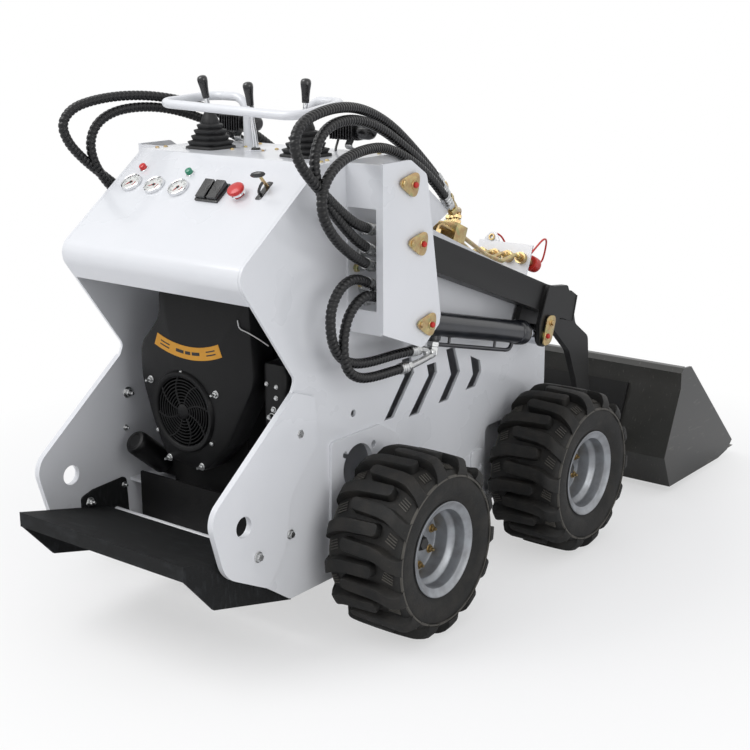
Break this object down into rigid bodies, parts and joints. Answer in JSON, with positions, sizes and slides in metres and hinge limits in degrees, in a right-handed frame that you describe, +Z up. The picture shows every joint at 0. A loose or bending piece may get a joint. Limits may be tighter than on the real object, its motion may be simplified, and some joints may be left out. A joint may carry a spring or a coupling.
{
  "type": "ride-behind mini skid steer loader",
  "caption": "Small ride-behind wheeled loader with sloping console, foot platform, lift arms on cylinders and a front bucket.",
  "frame": {"origin": "on the ground under the middle of the machine's length and width", "axes": "+X forward to the bucket, +Y to the operator's left, +Z up"},
  "size_m": [2.37, 1.11, 1.336],
  "materials": {
    "white_paint": "gloss",
    "charcoal_paint": "satin",
    "black_paint": "satin",
    "bucket_paint": "satin",
    "rim_paint": "satin",
    "tyre_rubber": "matte",
    "hose_rubber": "matte",
    "boot_rubber": "satin",
    "gold_zinc": "satin",
    "bright_steel": "satin",
    "chrome_rod": "gloss",
    "lamp_body": "matte",
    "gauge_face": "gloss",
    "switch_plastic": "satin",
    "engine_metal": "satin",
    "worn_edge": "satin"
  },
  "bodies": {
    "root": {"side_panel_right": "white_paint", "side_panel_left": "white_paint", "side_doublers": "white_paint", "body_tub": "white_paint", "wheel_motors": "black_paint", "tower_right": "white_paint", "tower_left": "white_paint", "tower_pins": "bright_steel", "pin_keepers": "gold_zinc", "control_panel": "white_paint", "hood": "white_paint", "platform": "black_paint", "platform_brackets": "black_paint", "cross_tube": "white_paint", "engine": "engine_metal", "engine_blower": "engine_metal", "oil_filter": "black_paint", "handle_bar": "white_paint", "lever_boots": "boot_rubber", "control_levers": "switch_plastic", "work_lamps": "lamp_body", "lamp_brackets": "bright_steel", "gauges": "gauge_face", "panel_switches": "switch_plastic", "upper_hoses": "hose_rubber", "lift_hoses": "hose_rubber", "hose_fittings": "bright_steel", "hose_brackets": "white_paint", "hydraulic_tubes": "gold_zinc"},
    "arm": {"lift_arm_right": "charcoal_paint", "lift_arm_left": "charcoal_paint", "arm_leg_right": "charcoal_paint", "arm_leg_left": "charcoal_paint", "cross_beam": "charcoal_paint", "arm_pins": "gold_zinc"},
    "lift_barrel_right": {"lift_barrel_right": "black_paint"},
    "lift_barrel_left": {"lift_barrel_left": "black_paint"},
    "lift_rod_right": {"lift_rod_right": "chrome_rod"},
    "lift_rod_left": {"lift_rod_left": "chrome_rod"},
    "tilt_barrel": {"tilt_barrel": "black_paint"},
    "tilt_rod": {"tilt_rod": "chrome_rod"},
    "bucket": {"coupling_plate": "charcoal_paint", "coupling_pins": "bright_steel", "bucket": "bucket_paint", "bucket_edge": "worn_edge"},
    "wheel_rear_right": {"tyre_rear_right": "tyre_rubber", "rim_rear_right": "rim_paint"},
    "wheel_rear_left": {"tyre_rear_left": "tyre_rubber", "rim_rear_left": "rim_paint"},
    "wheel_front_right": {"tyre_front_right": "tyre_rubber", "rim_front_right": "rim_paint"},
    "wheel_front_left": {"tyre_front_left": "tyre_rubber", "rim_front_left": "rim_paint"}
  },
  "joints": [
    {"name": "arm_lift", "type": "hinge", "parent": "root", "child": "arm", "pos_m": [-0.482, 0, 0.95], "axis": [0, -1, 0], "range_deg": [0, 80]},
    {"name": "bucket_tilt", "type": "hinge", "parent": "arm", "child": "bucket", "pos_m": [0.56, 0, 0.15], "axis": [0, -1, 0], "range_deg": [-105, 25]},
    {"name": "tilt_barrel_swing", "type": "hinge", "parent": "arm", "child": "tilt_barrel", "pos_m": [0.39, 0, 0.7], "axis": [0, -1, 0], "range_deg": [-0.5, 1.3]},
    {"name": "tilt_rod_slide", "type": "slide", "parent": "tilt_barrel", "child": "tilt_rod", "axis": [0.4474, 0, -0.8944], "range_m": [-0.0463, 0.1883]},
    {"name": "lift_barrel_swing_right", "type": "hinge", "parent": "root", "child": "lift_barrel_right", "pos_m": [-0.446, -0.35, 0.746], "axis": [0, -1, 0], "range_deg": [0, 75.52]},
    {"name": "lift_rod_slide_right", "type": "slide", "parent": "lift_barrel_right", "child": "lift_rod_right", "axis": [0.9704, 0, -0.2413], "range_m": [0, 0.2612]},
    {"name": "lift_barrel_swing_left", "type": "hinge", "parent": "root", "child": "lift_barrel_left", "pos_m": [-0.446, 0.35, 0.746], "axis": [0, -1, 0], "range_deg": [0, 75.52]},
    {"name": "lift_rod_slide_left", "type": "slide", "parent": "lift_barrel_left", "child": "lift_rod_left", "axis": [0.9704, 0, -0.2413], "range_m": [0, 0.2612]},
    {"name": "wheel_rear_right_spin", "type": "hinge", "parent": "root", "child": "wheel_rear_right", "pos_m": [-0.57, -0.445, 0.2285], "axis": [0, 1, 0], "continuous": true},
    {"name": "wheel_rear_left_spin", "type": "hinge", "parent": "root", "child": "wheel_rear_left", "pos_m": [-0.57, 0.445, 0.2285], "axis": [0, 1, 0], "continuous": true},
    {"name": "wheel_front_right_spin", "type": "hinge", "parent": "root", "child": "wheel_front_right", "pos_m": [0.134, -0.445, 0.2285], "axis": [0, 1, 0], "continuous": true},
    {"name": "wheel_front_left_spin", "type": "hinge", "parent": "root", "child": "wheel_front_left", "pos_m": [0.134, 0.445, 0.2285], "axis": [0, 1, 0], "continuous": true}
  ],
  "couplings": [
    {"joint": "tilt_barrel_swing", "follows": "bucket_tilt", "ratio": -0.01},
    {"joint": "tilt_rod_slide", "follows": "bucket_tilt", "m_per_rad": -0.10164},
    {"joint": "lift_barrel_swing_right", "follows": "arm_lift", "ratio": 0.93779},
    {"joint": "lift_rod_slide_right", "follows": "arm_lift", "m_per_rad": 0.18561},
    {"joint": "lift_barrel_swing_left", "follows": "arm_lift", "ratio": 0.93779},
    {"joint": "lift_rod_slide_left", "follows": "arm_lift", "m_per_rad": 0.18561}
  ]
}
